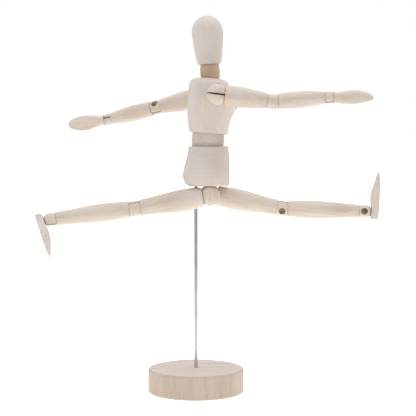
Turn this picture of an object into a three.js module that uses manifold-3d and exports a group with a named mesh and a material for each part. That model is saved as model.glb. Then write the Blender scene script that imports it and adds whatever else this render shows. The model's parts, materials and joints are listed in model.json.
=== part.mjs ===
// Artist mannequin, 12-inch size, in a leaping pose on a rod and a round base.
// Units are millimetres, +Z is up, and +X is the way the figure faces.
// The origin is the centre of the underside of the base, on the axis of the rod.
// The figure's right side is at -Y and its left side is at +Y.

import * as THREE from 'three';
import { mergeVertices } from 'three/addons/utils/BufferGeometryUtils.js';
import Module from 'manifold-3d';

const wasm = await Module();
wasm.setup();

// ---------------------------------------------------------------- driving dimensions

const CLEARANCE = 0.3;
const CUP_GAP = 0.4;
const TRUNK_SIDES = 18;
const LIMB_SIDES = 12;
const SMALL_SIDES = 8;
const ARC_STEP = THREE.MathUtils.degToRad(16);
const REACH = 100;

const BASE = { radius: 40, height: 20, edge: 2.4, chamfer: 1 };
const ROD = { radius: 1.5, inBase: 14, inPelvis: 18, chamfer: 0.5 };
const PELVIS = { bottom: 172.2, height: 32.6, back: -10.8, front: 27.8, hips: 22, waist: 16.4 };
const CHEST = { floor: 5.4, top: 50.2, back: -17.9, front: 21.2, shoulders: 22.4, waist: 15.5 };
const HEAD = { height: 40, radius: 13, crown: 25.5, chin: 8.9 };

// Trunk barrels: radius of the turned band, distance from the barrel's centre to the blocks
// above and below it, place in the block below, and lean in degrees.
const WAIST = { band: 13.3, rim: 5.4, x: 10, lean: 4.2, springReach: 17.5, wellRadius: 8.8 };
const NECK = { band: 8.1, rim: 6, x: -2.5, z: 56.2, lean: -8.2, springReach: 13.5, wellRadius: 7.8 };
const CHEST_TURN = 10;
const HEAD_TURN = -10;

// Limb balls: radius of the turned band or of the full ball, distance from the ball's centre
// to the rim of each cup that holds it, and outer radius of that rim.
const SHOULDER = { radius: 8.7, rim: 5.9, lip: 7.6, y: 29.6, z: 37 };
const ELBOW = turnedBall({ band: 5.6, rim: 4.5 });
const WRIST = turnedBall({ band: 4.5, rim: 3.7 });
const HIP = { radius: 8.4, rim: 5.9, lip: 8, x: 11.5, y: 14, drop: 7.7 };
const KNEE = turnedBall({ band: 6.2, rim: 5 });
const ANKLE = turnedBall({ band: 5.1, rim: 4.4 });

const SPIGOT = { radius: 1.6, length: 5 };
const SCREW = { shank: 0.8, head: 2.6, rise: 1.1, sunk: 1.3, cross: 0.8, crossDepth: 0.6 };
const TONGUE = { thickness: 1, eye: 2.2, bar: 1.1, grip: 5, footGrip: 3.4 };
const SLOT = { width: 1.7, overlap: 0.3, inFullBall: 3 };
const BORE = { spigot: 1.9, tongue: 1.6, spring: 2.3, slack: 0.5 };
const TRUNK_SPRING = { radius: 2.6, wire: 0.5, bore: 3.2 };
const LIMB_SPRING = { radius: 1.9, wire: 0.4 };
const SPRING_PITCH = 4.2;

// Limb pieces: distance from ball centre to ball centre, and the outer radii at equal steps
// between the two rims.
const UPPER_ARM = { length: 44.5, radii: [8.2, 7.9, 6.9] };
const FOREARM = { length: 45.4, radii: [6.5, 6.6, 5.9] };
const THIGH = { length: 62.2, radii: [9, 8.6, 7.4] };
const SHIN = { length: 69, radii: [7.4, 7.3, 6.3] };
const HAND = { length: 35.6, neck: 4.1, neckAt: 6, radius: 6.5, widestAt: 21, palmAt: 9, palmTilt: 9 };
const FOOT = { rim: 5.7, sole: 12, heel: 6.4, toe: 33.4, spring: 1.3, width: 13.8, heelWidth: 10 };

// Pose, in degrees, from the body outwards. The roll turns a ball about the piece that it
// sits in, the bend folds the next piece about the ball's screw, and side is the end of the
// ball that the screw's head is on. The turn sets a hand about its own wrist.
const POSE = {
  right_shoulder: { roll: -3.5, bend: 80, side: 1 },
  right_elbow: { roll: 90, bend: 11.9, side: -1 },
  right_wrist: { roll: -33, bend: -6.9, side: -1, turn: 150 },
  left_shoulder: { roll: -18, bend: 64.2, side: 1 },
  left_elbow: { roll: -45.5, bend: 1.1, side: 1 },
  left_wrist: { roll: 74, bend: 12.6, side: 1, turn: 230 },
  right_hip: { roll: 0, bend: 80.2, side: 1 },
  right_knee: { roll: -37, bend: 3.3, side: 1 },
  right_ankle: { roll: 72, bend: -12, side: 1 },
  left_hip: { roll: -2, bend: -78.8, side: -1 },
  left_knee: { roll: 22, bend: -10, side: -1 },
  left_ankle: { roll: -24, bend: 1.6, side: -1 },
};

// ---------------------------------------------------------------- materials

const MAPLE = new THREE.MeshStandardMaterial({ color: 0xe3d3b4, roughness: 0.55, metalness: 0 });
const BEECH = new THREE.MeshStandardMaterial({ color: 0xd2b391, roughness: 0.55, metalness: 0 });
const CHROME = new THREE.MeshStandardMaterial({ color: 0xc8cacc, roughness: 0.15, metalness: 1 });
const BRASS = new THREE.MeshStandardMaterial({ color: 0x6b5234, roughness: 0.4, metalness: 1 });
const STEEL = new THREE.MeshStandardMaterial({ color: 0x9a9a98, roughness: 0.35, metalness: 1 });

// ---------------------------------------------------------------- building helpers

// A ball turned down to a cylindrical band, with its domes, its cup and its rim worked out.
function turnedBall({ band, rim }) {
  const domeShown = 0.6;
  const rimWall = 0.35;
  const radius = Math.hypot(band, rim - domeShown);
  const lip = Math.sqrt((radius + CUP_GAP) ** 2 - rim ** 2) + rimWall;
  return { radius, band, rim, lip };
}

function radians(degrees) {
  return THREE.MathUtils.degToRad(degrees);
}

// Makes a manifold solid of a closed geometry.
function solid(geometry) {
  const bare = geometry.clone();
  bare.deleteAttribute('normal');
  bare.deleteAttribute('uv');
  const merged = mergeVertices(bare, 1e-4);
  const corners = merged.index.array;
  const triangles = [];
  for (let i = 0; i < corners.length; i += 3) {
    const [a, b, c] = corners.slice(i, i + 3);
    if (a !== b && b !== c && c !== a) triangles.push(a, b, c);
  }
  return new wasm.Manifold(new wasm.Mesh({
    numProp: 3,
    vertProperties: merged.attributes.position.array,
    triVerts: new Uint32Array(triangles),
  }));
}

// Makes a named mesh of a manifold solid.
function piece(name, body, material) {
  const { vertProperties, triVerts } = body.getMesh();
  const geometry = new THREE.BufferGeometry();
  geometry.setAttribute('position', new THREE.BufferAttribute(vertProperties, 3));
  geometry.setIndex(new THREE.BufferAttribute(triVerts, 1));
  geometry.computeVertexNormals();
  const mesh = new THREE.Mesh(geometry, material);
  mesh.name = name;
  return mesh;
}

// A solid of revolution about +X, from [along, radius] points that start and end on the axis
// or close on themselves.
function turned(outline, sides = LIMB_SIDES) {
  const points = outline.map(([along, radius]) => new THREE.Vector2(radius, along));
  const geometry = new THREE.LatheGeometry(points, sides);
  geometry.rotateZ(-Math.PI / 2);
  return geometry;
}

// The same solid standing on end, with its axis along +Z.
function upright(geometry) {
  return geometry.rotateY(-Math.PI / 2);
}

// [along, radius] points of a circular arc; the angle is measured from +X at the centre.
function arc(radius, from, to, centre = 0) {
  const steps = Math.max(1, Math.ceil(Math.abs(to - from) / ARC_STEP));
  const points = [];
  for (let i = 0; i <= steps; i += 1) {
    const angle = from + ((to - from) * i) / steps;
    points.push([centre + radius * Math.cos(angle), radius * Math.sin(angle)]);
  }
  return points;
}

// [along, radius] points of a smooth curve through a few given ones.
function smooth(points, divisions) {
  const curve = new THREE.SplineCurve(points.map(([x, y]) => new THREE.Vector2(x, y)));
  return curve.getPoints(divisions).map((point) => [point.x, point.y]);
}

function sphere(radius, x, y, z) {
  return solid(new THREE.SphereGeometry(radius, 20, 12)).translate(x, y, z);
}

// A round rod along +X, from one place to another.
function dowel(radius, from, to, sides = SMALL_SIDES) {
  return solid(turned([[from, 0], [from, radius], [to, radius], [to, 0]], sides));
}

function box(length, width, height) {
  return solid(new THREE.BoxGeometry(length, width, height));
}

// A flat outline made into a slab: 'side' lies in X and Z, 'front' in Y and Z, 'plan' in X
// and Y. The slab is centred on its plane.
function slab(shape, view, thickness, divisions = 3) {
  const options = { depth: thickness, bevelEnabled: false, curveSegments: divisions };
  const geometry = new THREE.ExtrudeGeometry(shape, options);
  geometry.translate(0, 0, -thickness / 2);
  if (view !== 'plan') geometry.rotateX(Math.PI / 2);
  if (view === 'front') geometry.rotateZ(Math.PI / 2);
  return solid(geometry);
}

// A closed outline symmetric about the upright axis, from its right-hand half.
function mirrored(halfPoints) {
  const left = halfPoints.map(([across, up]) => [-across, up]).reverse();
  const points = [...halfPoints, ...left].map(([x, y]) => new THREE.Vector2(x, y));
  return new THREE.Shape(points);
}

// A rectangle with elliptical corners.
function roundedPlan(back, front, halfWidth, corner) {
  const shape = new THREE.Shape();
  shape.moveTo(back, corner - halfWidth);
  shape.quadraticCurveTo(back, -halfWidth, back + corner, -halfWidth);
  shape.lineTo(front - corner, -halfWidth);
  shape.quadraticCurveTo(front, -halfWidth, front, corner - halfWidth);
  shape.lineTo(front, halfWidth - corner);
  shape.quadraticCurveTo(front, halfWidth, front - corner, halfWidth);
  shape.lineTo(back + corner, halfWidth);
  shape.quadraticCurveTo(back, halfWidth, back, halfWidth - corner);
  return shape;
}

// ---------------------------------------------------------------- joint pieces

// A ball with a spigot that turns in the piece before it, and a slot for the tongue of the
// piece after it. The spigot points along -X and the screw's hole along Y.
function ball(joint, side) {
  const { radius, band } = joint;
  const neck = Math.asin(SPIGOT.radius / radius);
  const edge = band ? Math.asin(band / radius) : Math.PI / 2;
  const outline = [
    [-radius - SPIGOT.length, 0],
    [-radius - SPIGOT.length, SPIGOT.radius],
    ...arc(radius, Math.PI - neck, Math.PI - edge),
    ...arc(radius, edge, 0).slice(band ? 0 : 1),
  ];
  const slotFloor = band ? joint.rim - SLOT.overlap : SLOT.inFullBall;
  const slotLength = slotFloor + 2 * radius;
  const slot = box(slotLength, SLOT.width, REACH).translate(slotLength / 2 - slotFloor, 0, 0);
  const surface = band ?? radius;
  const hole = dowel(SCREW.shank + CLEARANCE, -surface + SCREW.rise, surface)
    .rotate(0, 0, side * 90);
  const seat = dowel(SCREW.head + CLEARANCE, surface - SCREW.sunk, 2 * surface)
    .rotate(0, 0, side * 90);
  return solid(turned(outline)).subtract(slot).subtract(hole).subtract(seat);
}

// A cross-head screw along Y, with its head on the given side.
function screw(joint, side) {
  const surface = joint.band ?? joint.radius;
  const underHead = surface - SCREW.sunk + CLEARANCE;
  const top = underHead + SCREW.rise;
  const domed = solid(turned([
    [-surface + SCREW.rise + CLEARANCE, 0],
    [-surface + SCREW.rise + CLEARANCE, SCREW.shank],
    [underHead, SCREW.shank],
    [underHead, SCREW.head],
    [top - SCREW.rise / 5, SCREW.head * 0.6],
    [top, 0],
  ], SMALL_SIDES));
  const arm = box(2 * SCREW.crossDepth, SCREW.cross, SCREW.head * 1.2).translate(top, 0, 0);
  const cross = arm.add(arm.rotate(90, 0, 0));
  return domed.subtract(cross).rotate(0, 0, side * 90);
}

// A steel eye plate: the eye turns on the screw, and the bar is driven into the next piece.
function tongue(joint, grip) {
  const end = joint.radius + grip;
  const shoulder = Math.asin(TONGUE.bar / TONGUE.eye);
  const shape = new THREE.Shape();
  shape.absarc(0, 0, TONGUE.eye, shoulder, 2 * Math.PI - shoulder, false);
  shape.lineTo(end, -TONGUE.bar);
  shape.lineTo(end, TONGUE.bar);
  const eye = new THREE.Path();
  eye.absarc(0, 0, SCREW.shank + CLEARANCE, 0, 2 * Math.PI, true);
  shape.holes.push(eye);
  return slab(shape, 'side', TONGUE.thickness);
}

// A coil spring along +X, centred on the origin.
class Coil extends THREE.Curve {
  constructor(radius, length) {
    super();
    this.radius = radius;
    this.length = length;
    this.turns = Math.round(length / SPRING_PITCH);
  }

  getPoint(t, target = new THREE.Vector3()) {
    const angle = 2 * Math.PI * this.turns * t;
    const along = this.length * (t - 0.5);
    return target.set(along, this.radius * Math.cos(angle), this.radius * Math.sin(angle));
  }
}

function spring({ radius, wire }, length) {
  const path = new Coil(radius - wire, length - 2 * wire);
  const section = new THREE.Shape();
  section.absarc(0, 0, wire, 0, 2 * Math.PI, false);
  return solid(new THREE.ExtrudeGeometry(section, {
    steps: path.turns * 7,
    extrudePath: path,
    curveSegments: 2,
  }));
}

// ---------------------------------------------------------------- limb pieces

// Points of the cup at the body end of a piece, from the bore's floor to the rim.
function nearCup(joint, bore, depth, rim = joint.rim) {
  const cup = joint.radius + CUP_GAP;
  return [
    [cup + depth, 0],
    [cup + depth, bore],
    ...arc(cup, Math.asin(bore / cup), Math.acos(rim / cup)),
  ];
}

// Points of the cup at the far end of a piece, from the rim to the bore's floor.
function farCup(joint, length) {
  const cup = joint.radius + CUP_GAP;
  const floor = length - cup - SPIGOT.length - BORE.slack;
  return [
    ...arc(cup, Math.PI - Math.acos(joint.rim / cup), Math.PI - Math.asin(BORE.spigot / cup), length),
    [floor, BORE.spigot],
    [floor, 0],
  ];
}

// A turned arm or leg piece between two balls.
function limbPiece({ length, radii }, near, far) {
  const start = near.rim;
  const end = length - far.rim;
  const step = (end - start) / (radii.length + 1);
  const swell = radii.map((radius, i) => [start + step * (i + 1), radius]);
  const outer = smooth([[start, near.lip], ...swell, [end, far.lip]], 6);
  const inner = nearCup(near, BORE.tongue, TONGUE.grip + BORE.slack);
  return solid(turned([...inner, ...outer, ...farCup(far, length)]));
}

// A hand turned as a spindle, with one side sawn off at a slant for the palm. The palm
// faces +Y.
function hand() {
  const outer = smooth([
    [WRIST.rim, WRIST.lip],
    [HAND.neckAt, HAND.neck],
    [HAND.widestAt - 7, HAND.radius - 1],
    [HAND.widestAt, HAND.radius],
    [HAND.length - 6, HAND.radius - 1.4],
    [HAND.length - 1.5, 3],
    [HAND.length, 0],
  ], 12);
  const inner = nearCup(WRIST, BORE.tongue, TONGUE.grip + BORE.slack);
  const spindle = solid(turned([...inner, ...outer]));
  const offcut = box(2 * HAND.length, HAND.length, HAND.length)
    .translate(0, HAND.length / 2, 0)
    .rotate(0, 0, -HAND.palmTilt)
    .translate(HAND.palmAt, HAND.neck, 0);
  return spindle.subtract(offcut);
}

// A foot: a flat sole that lifts towards the toe, square across the shin. The shin comes
// from -X and the toe points to +Z.
function foot() {
  const side = new THREE.Shape();
  side.moveTo(FOOT.sole, -FOOT.heel);
  side.lineTo(FOOT.sole, FOOT.toe * 0.4);
  side.quadraticCurveTo(FOOT.sole, FOOT.toe * 0.8, FOOT.sole - FOOT.spring, FOOT.toe);
  side.lineTo(FOOT.sole - FOOT.spring - 0.8, FOOT.toe);
  side.quadraticCurveTo(FOOT.rim, FOOT.toe * 0.7, FOOT.rim - 1, FOOT.toe * 0.4);
  side.quadraticCurveTo(FOOT.rim - 0.9, FOOT.toe * 0.2, FOOT.rim, FOOT.toe * 0.15);
  side.lineTo(FOOT.rim, 1 - FOOT.heel);
  side.lineTo(FOOT.rim + 0.7, -FOOT.heel);
  const outline = mirrored([
    [FOOT.heelWidth / 2 - 2, -FOOT.heel],
    [FOOT.heelWidth / 2, 1.5 - FOOT.heel],
    [FOOT.heelWidth / 2 + 0.4, 4],
    [FOOT.width / 2, FOOT.toe * 0.55],
    [FOOT.width / 2 - 0.5, FOOT.toe * 0.75],
    [FOOT.width / 2 - 2.4, FOOT.toe * 0.92],
    [FOOT.width / 2 - 4.6, FOOT.toe],
  ]);
  const bore = dowel(BORE.tongue, 0, ANKLE.radius + TONGUE.footGrip + BORE.slack);
  return slab(side, 'side', REACH)
    .intersect(slab(outline, 'front', REACH))
    .subtract(sphere(ANKLE.radius + CUP_GAP, 0, 0, 0))
    .subtract(bore);
}

// ---------------------------------------------------------------- trunk pieces

function base() {
  const { radius, height, edge, chamfer } = BASE;
  const hole = ROD.radius + CLEARANCE;
  const corner = arc(edge, Math.PI / 2, 0)
    .map(([x, y]) => [height - edge + x, radius - edge + y]);
  return solid(upright(turned([
    [height - ROD.inBase, 0],
    [height - ROD.inBase, hole],
    [height, hole],
    ...corner.reverse(),
    [chamfer, radius],
    [0, radius - chamfer],
    [0, 0],
  ].reverse(), 28)));
}

function rod() {
  const { radius, chamfer } = ROD;
  const bottom = BASE.height - ROD.inBase + CLEARANCE;
  const top = PELVIS.bottom + ROD.inPelvis;
  return solid(upright(turned([
    [bottom, 0],
    [bottom, radius - chamfer],
    [bottom + chamfer, radius],
    [top - chamfer, radius],
    [top, radius - chamfer],
    [top, 0],
  ], 12)));
}

// A trunk barrel with a hole along its axis for the spring.
function barrel({ band, rim }, hole) {
  const { radius } = turnedBall({ band, rim });
  const edge = Math.asin(band / radius);
  const mouth = Math.asin(hole / radius);
  const outline = [
    ...arc(radius, Math.PI - mouth, Math.PI - edge),
    ...arc(radius, edge, mouth),
  ];
  return solid(upright(turned([...outline, outline[0]], TRUNK_SIDES)));
}

// The recess in a trunk block for a barrel whose centre is at (x, 0, z).
function dish(barrelSize, x, z) {
  return sphere(turnedBall(barrelSize).radius + CUP_GAP, x, 0, z);
}

function pelvis() {
  const { height, back, front, hips, waist } = PELVIS;
  const side = new THREE.Shape();
  side.moveTo(back + 5, 0);
  side.quadraticCurveTo(back, 0, back, height * 0.25);
  side.quadraticCurveTo(back, height * 0.45, back + 3.2, height * 0.75);
  side.lineTo(back + 4.6, height);
  side.lineTo(front - 0.8, height);
  side.quadraticCurveTo(front, height * 0.8, front, height * 0.5);
  side.lineTo(front, 2.5);
  side.quadraticCurveTo(front, 0, front - 2.5, 0);
  const frontView = mirrored([
    [hips - 3, 0],
    [hips - 0.8, 1.6],
    [hips, height * 0.25],
    [hips - 0.8, height * 0.55],
    [waist, height],
  ]);
  const plan = roundedPlan(back, front, hips, 13);
  const waistZ = height + WAIST.rim;
  const well = dowel(WAIST.wellRadius, waistZ - WAIST.springReach - 0.7, waistZ, TRUNK_SIDES)
    .rotate(0, -90, 0)
    .translate(WAIST.x, 0, 0);
  const rodHole = dowel(ROD.radius + CLEARANCE, -1, ROD.inPelvis + BORE.slack).rotate(0, -90, 0);
  const hipBore = dowel(BORE.spring, -1, hipSpringTop() + BORE.slack).rotate(0, -90, 0);
  let block = slab(side, 'side', REACH)
    .intersect(slab(frontView, 'front', REACH))
    .intersect(slab(plan, 'plan', REACH))
    .subtract(dish(WAIST, WAIST.x, waistZ))
    .subtract(well)
    .subtract(rodHole);
  for (const y of [-HIP.y, HIP.y]) {
    block = block
      .subtract(sphere(HIP.radius + CUP_GAP, HIP.x, y, -HIP.drop))
      .subtract(hipBore.translate(HIP.x, y, 0));
  }
  return block;
}

// Heights of the ends of the hip springs above the underside of the pelvis.
function hipSpringFoot() {
  return HIP.radius - HIP.drop + SPIGOT.length + CLEARANCE;
}

function hipSpringTop() {
  return hipSpringFoot() + 10;
}

function chest() {
  const { floor, top, back, front, shoulders, waist } = CHEST;
  const side = new THREE.Shape();
  side.moveTo(-waist, floor);
  side.quadraticCurveTo(back, floor + 12, back, floor + 20);
  side.lineTo(back, top - 7);
  side.quadraticCurveTo(back, top - 1, back + 5, top);
  side.lineTo(front - 14.5, top);
  side.quadraticCurveTo(front - 9, top - 0.5, front - 5.6, top - 9);
  side.lineTo(front, floor + 23);
  side.quadraticCurveTo(front - 0.6, floor + 20.5, front - 3.6, floor + 17);
  side.quadraticCurveTo(waist + 0.6, floor + 12, waist, floor);
  const frontView = mirrored([
    [waist, floor],
    [shoulders - 2, floor + 18],
    [shoulders, floor + 26],
    [shoulders, floor + 35],
    [shoulders - 2.4, floor + 40],
    [shoulders - 7.4, top],
  ]);
  const plan = roundedPlan(back, front, shoulders, 14);
  const waistBore = dowel(TRUNK_SPRING.bore, 0, WAIST.springReach + 0.7).rotate(0, -90, 0);
  const neckWell = dowel(NECK.wellRadius, NECK.z - NECK.springReach - 0.7, NECK.z, TRUNK_SIDES)
    .rotate(0, -90, 0)
    .translate(NECK.x, 0, 0);
  const shoulderBore = dowel(BORE.spring, -SHOULDER.y, SHOULDER.y)
    .rotate(0, 0, 90)
    .translate(0, 0, SHOULDER.z);
  let block = slab(side, 'side', REACH)
    .intersect(slab(frontView, 'front', REACH))
    .intersect(slab(plan, 'plan', REACH))
    .subtract(dish(WAIST, 0, 0))
    .subtract(dish(NECK, NECK.x, NECK.z))
    .subtract(waistBore)
    .subtract(neckWell)
    .subtract(shoulderBore);
  for (const y of [-SHOULDER.y, SHOULDER.y]) {
    block = block.subtract(sphere(SHOULDER.radius + CUP_GAP, 0, y, SHOULDER.z));
  }
  return block;
}

// An egg-shaped head, standing on the neck barrel's centre.
function head() {
  const neckBall = turnedBall(NECK).radius + CUP_GAP;
  const chin = NECK.rim;
  const floor = NECK.springReach + 0.7;
  const { height, radius, crown } = HEAD;
  const jaw = smooth([
    [chin, HEAD.chin],
    [chin + 2.5, HEAD.chin + 1.1],
    [chin + 12, radius - 1.4],
    [chin + crown, radius],
  ], 6);
  const stretch = (height - crown) / radius;
  const dome = arc(radius, Math.PI / 2, 0)
    .map(([along, out]) => [chin + crown + along * stretch, out]);
  return solid(upright(turned([
    [floor, 0],
    [floor, BORE.spring],
    ...arc(neckBall, Math.asin(BORE.spring / neckBall), Math.acos(chin / neckBall)),
    ...jaw,
    ...dome.slice(1),
  ], TRUNK_SIDES)));
}

// ---------------------------------------------------------------- assembly

const mannequin = new THREE.Group();

function child(parent, x = 0, y = 0, z = 0) {
  const group = new THREE.Group();
  group.position.set(x, y, z);
  parent.add(group);
  return group;
}

// Adds a ball, its screw and the tongue on it, and returns the frame of the next piece.
function addJoint(parent, name, joint, grip = TONGUE.grip) {
  const { roll, bend, side } = POSE[name];
  const swivel = child(parent);
  swivel.rotation.x = radians(roll);
  swivel.add(piece(`${name}_ball`, ball(joint, side), MAPLE));
  swivel.add(piece(`${name}_screw`, screw(joint, side), BRASS));
  const fold = child(swivel);
  fold.rotation.y = radians(bend);
  fold.add(piece(`${name}_tongue`, tongue(joint, grip), STEEL));
  return fold;
}

// Adds the two long pieces and the three balls of an arm or a leg, and returns the frame of
// the hand or foot. The parent's +X points out of the socket that the limb starts in.
function addLimb(parent, side, [first, second, third], [upper, lower], grip) {
  const upperFrame = addJoint(parent, `${side}_${first.name}`, first.joint);
  const upperBody = limbPiece(upper.size, first.joint, second.joint);
  upperFrame.add(piece(`${side}_${upper.name}`, upperBody, MAPLE));
  const middle = child(upperFrame, upper.size.length);
  const lowerFrame = addJoint(middle, `${side}_${second.name}`, second.joint);
  const lowerBody = limbPiece(lower.size, second.joint, third.joint);
  lowerFrame.add(piece(`${side}_${lower.name}`, lowerBody, MAPLE));
  const end = child(lowerFrame, lower.size.length);
  return addJoint(end, `${side}_${third.name}`, third.joint, grip);
}

function addArm(parent, side) {
  const outward = side === 'right' ? -1 : 1;
  const socket = child(parent, 0, outward * SHOULDER.y, SHOULDER.z);
  socket.rotation.set(Math.PI / 2, 0, (outward * Math.PI) / 2, 'ZYX');
  const joints = [
    { name: 'shoulder', joint: SHOULDER },
    { name: 'elbow', joint: ELBOW },
    { name: 'wrist', joint: WRIST },
  ];
  const pieces = [{ name: 'upper_arm', size: UPPER_ARM }, { name: 'forearm', size: FOREARM }];
  const wrist = addLimb(socket, side, joints, pieces);
  const mesh = piece(`${side}_hand`, hand(), MAPLE);
  mesh.rotation.x = radians(POSE[`${side}_wrist`].turn);
  wrist.add(mesh);
}

function addLeg(parent, side) {
  const y = side === 'right' ? -HIP.y : HIP.y;
  const socket = child(parent, HIP.x, y, -HIP.drop);
  socket.rotation.y = Math.PI / 2;
  const joints = [
    { name: 'hip', joint: HIP },
    { name: 'knee', joint: KNEE },
    { name: 'ankle', joint: ANKLE },
  ];
  const pieces = [{ name: 'thigh', size: THIGH }, { name: 'shin', size: SHIN }];
  const ankle = addLimb(socket, side, joints, pieces, TONGUE.footGrip);
  ankle.add(piece(`${side}_foot`, foot(), MAPLE));
}

mannequin.add(piece('base', base(), BEECH));
mannequin.add(piece('rod', rod(), CHROME));

const pelvisFrame = child(mannequin, 0, 0, PELVIS.bottom);
pelvisFrame.add(piece('pelvis', pelvis(), MAPLE));
for (const [side, y] of [['right', -HIP.y], ['left', HIP.y]]) {
  const length = hipSpringTop() - hipSpringFoot();
  const coil = piece(`${side}_hip_spring`, spring(LIMB_SPRING, length), STEEL);
  coil.position.set(HIP.x, y, hipSpringFoot() + length / 2);
  coil.rotation.y = -Math.PI / 2;
  pelvisFrame.add(coil);
  addLeg(pelvisFrame, side);
}

const waistFrame = child(pelvisFrame, WAIST.x, 0, PELVIS.height + WAIST.rim);
waistFrame.rotation.y = radians(WAIST.lean);
waistFrame.add(piece('waist', barrel(WAIST, TRUNK_SPRING.bore), MAPLE));
const waistSpring = piece('waist_spring', spring(TRUNK_SPRING, 2 * WAIST.springReach), STEEL);
waistSpring.rotation.y = -Math.PI / 2;
waistFrame.add(waistSpring);

const chestFrame = child(waistFrame);
chestFrame.rotation.z = radians(CHEST_TURN);
chestFrame.add(piece('chest', chest(), MAPLE));
const shoulderSpringLength = 2 * (SHOULDER.y - SHOULDER.radius - SPIGOT.length - CLEARANCE);
const shoulderSpring = spring(LIMB_SPRING, shoulderSpringLength);
const shoulderCoil = piece('shoulder_spring', shoulderSpring, STEEL);
shoulderCoil.position.z = SHOULDER.z;
shoulderCoil.rotation.z = Math.PI / 2;
chestFrame.add(shoulderCoil);
addArm(chestFrame, 'right');
addArm(chestFrame, 'left');

const neckFrame = child(chestFrame, NECK.x, 0, NECK.z);
neckFrame.rotation.y = radians(NECK.lean);
neckFrame.add(piece('neck', barrel(NECK, BORE.spring), BEECH));
const neckSpring = piece('neck_spring', spring(LIMB_SPRING, 2 * NECK.springReach), STEEL);
neckSpring.rotation.y = -Math.PI / 2;
neckFrame.add(neckSpring);

const headFrame = child(neckFrame);
headFrame.rotation.z = radians(HEAD_TURN);
headFrame.add(piece('head', head(), MAPLE));

export default mannequin;
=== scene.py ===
"""Looks of the artist mannequin: fine meshes, wood and metal materials, light and camera.

Lengths are millimetres and become metres as a mesh is made. The lights, the camera and the glow
of the floor are set in metres. A limb piece is built along its own +X, from the ball nearer the
body to the next one, and the head along +X from the neck up. The base, the rod, the barrels and
the two blocks are built standing up. Each fine piece replaces the CAD node of the same name.
"""

import json
import math

import bmesh
import bpy
from mathutils import Matrix, Vector

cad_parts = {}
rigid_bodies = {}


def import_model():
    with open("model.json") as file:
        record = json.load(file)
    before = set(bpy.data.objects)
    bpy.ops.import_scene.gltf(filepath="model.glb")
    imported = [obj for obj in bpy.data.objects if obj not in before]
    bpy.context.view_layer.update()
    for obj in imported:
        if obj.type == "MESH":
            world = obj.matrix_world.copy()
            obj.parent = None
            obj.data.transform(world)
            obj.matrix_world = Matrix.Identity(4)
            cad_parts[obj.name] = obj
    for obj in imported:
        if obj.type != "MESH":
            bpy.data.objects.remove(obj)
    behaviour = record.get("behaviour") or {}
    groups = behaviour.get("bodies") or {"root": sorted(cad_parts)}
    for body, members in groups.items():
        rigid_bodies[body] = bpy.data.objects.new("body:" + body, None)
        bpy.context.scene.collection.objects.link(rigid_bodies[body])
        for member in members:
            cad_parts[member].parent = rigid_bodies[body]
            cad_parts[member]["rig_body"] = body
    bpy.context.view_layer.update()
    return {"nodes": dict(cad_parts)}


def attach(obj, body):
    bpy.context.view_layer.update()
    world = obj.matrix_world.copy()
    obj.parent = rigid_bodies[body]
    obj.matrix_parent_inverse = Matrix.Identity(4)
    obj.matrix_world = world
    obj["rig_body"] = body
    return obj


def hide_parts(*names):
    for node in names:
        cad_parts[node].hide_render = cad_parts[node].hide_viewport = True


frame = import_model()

MM = 0.001

# ---------------------------------------------------------------- driving dimensions

# CUP_GAP sets how far the lips of the cups reach. The fine gaps are the room round a ball:
# the first in the cups of the arm and leg pieces, the second in the trunk, head and feet.
CUP_GAP = 0.4
FINE_CUP_GAP = 0.2
FINE_DISH_GAP = 0.3
LIMB_SIDES = 64
TRUNK_SIDES = 96
BASE_SIDES = 160
SMALL_SIDES = 40
ARC_STEP = 5

BASE = dict(radius=40, height=20, edge=2.4, chamfer=1)
ROD = dict(radius=1.5, in_base=14, in_pelvis=18, chamfer=0.4, clearance=0.3)
ROD_GAP = dict(base=0.15, pelvis=0.2)
PELVIS = dict(bottom=172.2, height=32.6, back=-10.8, front=27.8, hips=22, waist=16.4)
CHEST = dict(floor=5.4, top=50.2, back=-17.9, front=21.2, shoulders=22.4, waist=15.5)
HEAD = dict(height=40, radius=13, crown=25.5, chin=8.9)
WAIST = dict(band=13.3, rim=5.4, crown=0.3, x=10, lean=4.2, spring_reach=17.5, well=8.8)
NECK = dict(band=8.1, rim=6, crown=0.9, x=-2.5, z=56.2, lean=-8.2, spring_reach=13.5, well=7.8)
CHEST_TURN = 10
HEAD_TURN = -10

SPIGOT = dict(radius=1.6, length=5)
SCREW = dict(shank=0.8, head=2.6, rise=1.1, sunk=1.3, clearance=0.3)
SCREW_GAP = dict(shank=0.15, head=0.2)
SCREW_CROSS = dict(depth=0.85, width=0.62, reach=1.55, taper=0.55)
THREAD_PITCH = 0.5
TONGUE = dict(thickness=1, eye=2.2, bar=1.1, grip=5, foot_grip=3.4)
SLOT = dict(width=1.4, overlap=0.3, in_full_ball=3)
BORE = dict(spigot=1.9, tongue=1.6, spring=2.3, trunk_spring=3.2, slack=0.5)
TRUNK_SPRING = dict(radius=2.6, wire=0.5)
LIMB_SPRING = dict(radius=1.9, wire=0.4)
SPRING_PITCH = 2.6
SPRING_ROOM = 0.7
SPIGOT_END_GAP = 0.3
HIP_SPRING_LENGTH = 10

UPPER_ARM = dict(length=44.5, radii=(8.2, 7.9, 6.9))
FOREARM = dict(length=45.4, radii=(6.5, 6.6, 5.9))
THIGH = dict(length=62.2, radii=(9, 8.6, 7.4))
SHIN = dict(length=69, radii=(7.4, 7.3, 6.3))
HAND = dict(length=35.6, neck=4.1, neck_at=6, radius=6.5, widest_at=21, palm_at=9, palm_tilt=9)
FOOT = dict(rim=5.7, sole=12, heel=6.4, toe=33.4, spring=1.3, width=13.8, heel_width=10)

# Wear: the voxel of the even mesh and how often it is smoothed.
BLOCK_WEAR = dict(voxel=0.42, passes=2)
SMALL_WEAR = dict(voxel=0.28, passes=5)

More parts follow.
